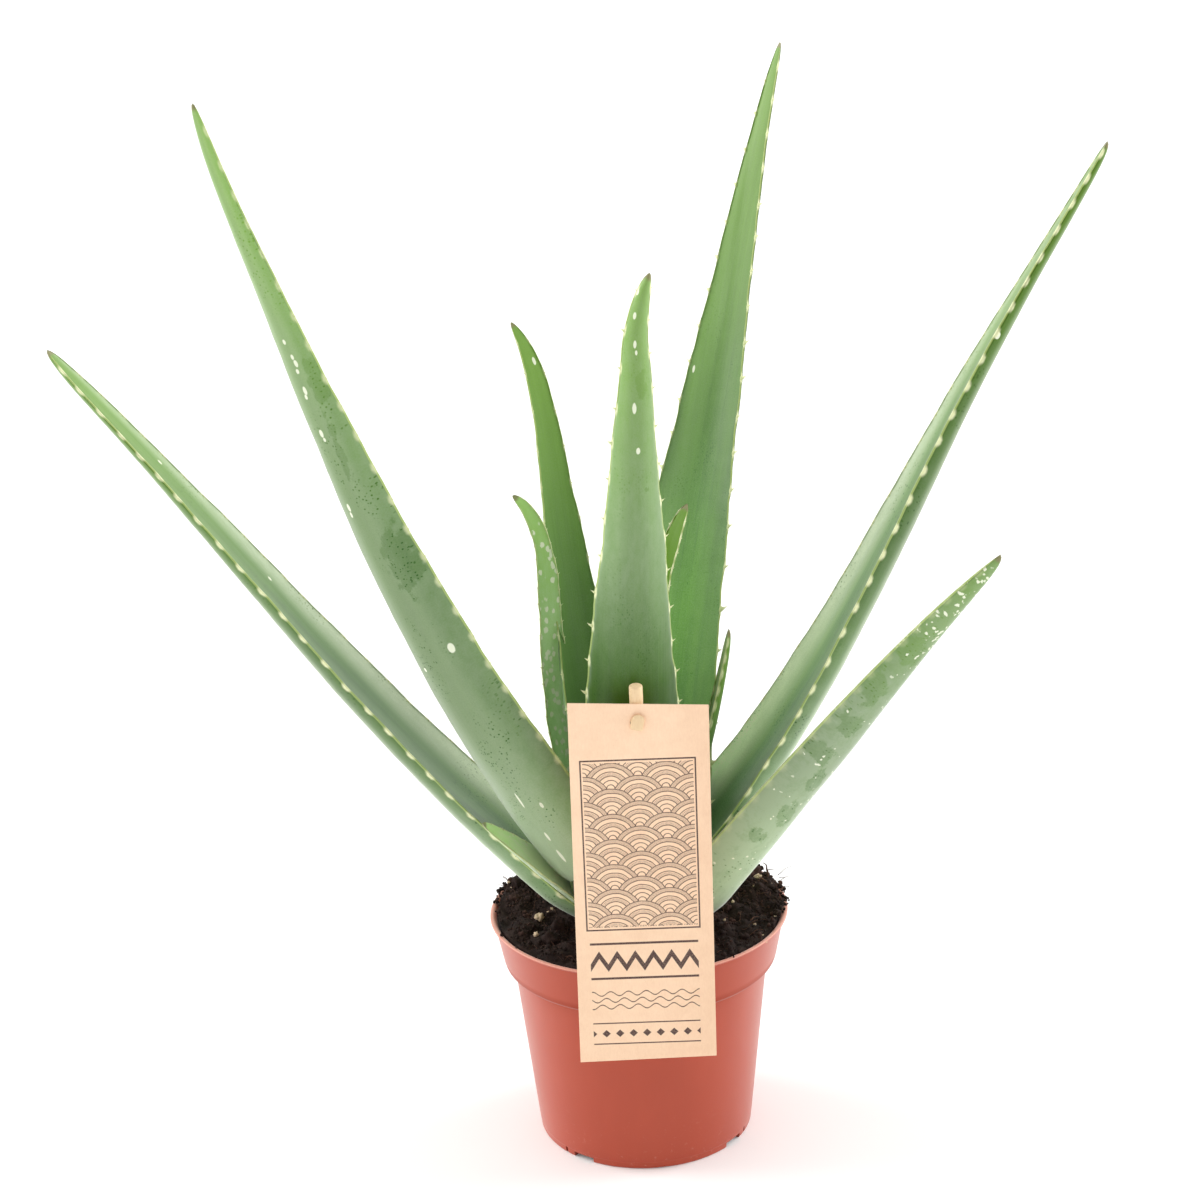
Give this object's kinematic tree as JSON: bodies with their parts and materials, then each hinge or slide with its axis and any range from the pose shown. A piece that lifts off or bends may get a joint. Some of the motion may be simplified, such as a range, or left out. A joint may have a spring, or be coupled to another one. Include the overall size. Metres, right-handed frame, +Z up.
{
  "type": "potted aloe plant",
  "caption": "Aloe rosette of long toothed fleshy leaves in a round plastic nursery pot, with a blank-backed paper card hanging on a wooden stick.",
  "frame": {"origin": "middle of the pot's underside, on the surface it stands on", "axes": "+Z up, -Y towards the front where the card hangs, +X to the viewer's right"},
  "size_m": [0.4053, 0.2155, 0.4321],
  "materials": {
    "pot_plastic": "satin terracotta-orange moulded plastic",
    "soil_peat": null,
    "stem_skin": null,
    "leaf_skin": null,
    "card_paper": "matt kraft-coloured card, printed in dark brown",
    "stick_wood": "bare pale birch dowel"
  },
  "bodies": {
    "root": {"pot": "pot_plastic", "soil": "soil_peat", "stem": "stem_skin", "leaf_centre_young": "leaf_skin", "leaf_right_slender": "leaf_skin", "leaf_tall": "leaf_skin", "leaf_right_high": "leaf_skin", "leaf_left_high": "leaf_skin", "leaf_back_left": "leaf_skin", "leaf_front": "leaf_skin", "leaf_left_small": "leaf_skin", "leaf_left_low": "leaf_skin", "leaf_right_low": "leaf_skin", "leaf_left_spotted": "leaf_skin", "label_card": "card_paper", "label_stick": "stick_wood"}
  },
  "joints": []
}
